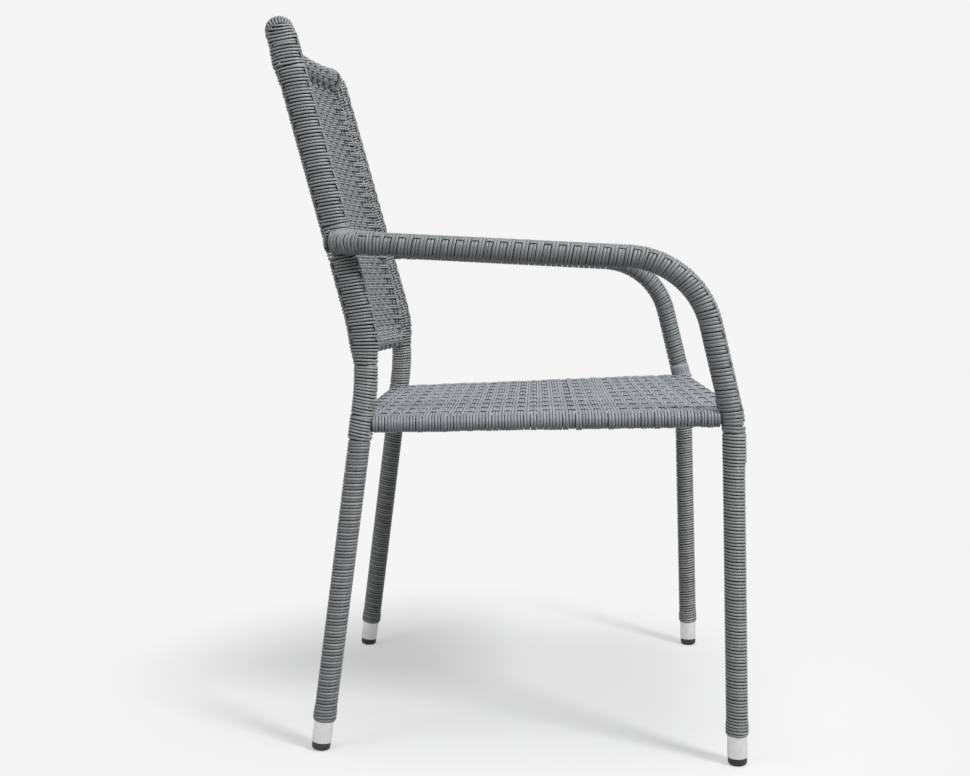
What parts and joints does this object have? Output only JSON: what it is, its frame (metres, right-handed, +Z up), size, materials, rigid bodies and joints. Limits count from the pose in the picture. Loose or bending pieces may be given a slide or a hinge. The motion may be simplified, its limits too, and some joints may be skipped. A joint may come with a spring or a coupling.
{
  "type": "armchair",
  "caption": "Stacking armchair with a bent tube frame wound in synthetic rattan strand, a woven seat, a bowed woven back and bare metal feet.",
  "frame": {"origin": "on the floor, at the centre of the chair's bounding box seen from above", "axes": "+Z up; the sitter faces -Y; +X is the sitter's left"},
  "size_m": [0.5566, 0.616, 0.9005],
  "materials": {
    "frame_tube": "powder coated, satin, grey",
    "foot_sleeve": "bare, satin",
    "foot_glide": "moulded, black",
    "winding_strand": "extruded strand, satin, cool grey",
    "seat_strand": "extruded strand, satin, cool grey",
    "back_strand": "extruded strand, satin, cool grey"
  },
  "bodies": {
    "root": {"back_frame_tube": "frame_tube", "side_frame_tube_right": "frame_tube", "side_frame_tube_left": "frame_tube", "seat_front_rail": "frame_tube", "seat_rear_rail": "frame_tube", "seat_side_rail_right": "frame_tube", "seat_side_rail_left": "frame_tube", "back_lower_rail": "frame_tube", "foot_sleeve_front_right": "foot_sleeve", "foot_sleeve_front_left": "foot_sleeve", "foot_sleeve_rear_right": "foot_sleeve", "foot_sleeve_rear_left": "foot_sleeve", "foot_glide_front_right": "foot_glide", "foot_glide_front_left": "foot_glide", "foot_glide_rear_right": "foot_glide", "foot_glide_rear_left": "foot_glide", "front_leg_winding_right": "winding_strand", "front_leg_winding_left": "winding_strand", "rear_leg_winding_right": "winding_strand", "rear_leg_winding_left": "winding_strand", "arm_winding_right": "winding_strand", "arm_winding_left": "winding_strand", "seat_joint_winding_right": "winding_strand", "seat_joint_winding_left": "winding_strand", "mid_post_winding_right": "winding_strand", "mid_post_winding_left": "winding_strand", "lower_post_winding_right": "winding_strand", "lower_post_winding_left": "winding_strand", "arm_joint_winding_right": "winding_strand", "arm_joint_winding_left": "winding_strand", "upper_post_winding_right": "winding_strand", "upper_post_winding_left": "winding_strand", "top_rail_winding": "winding_strand", "lower_rail_winding": "winding_strand", "back_weave": "back_strand", "seat_weave": "seat_strand", "seat_collar_right": "seat_strand", "seat_collar_left": "seat_strand"}
  },
  "joints": []
}
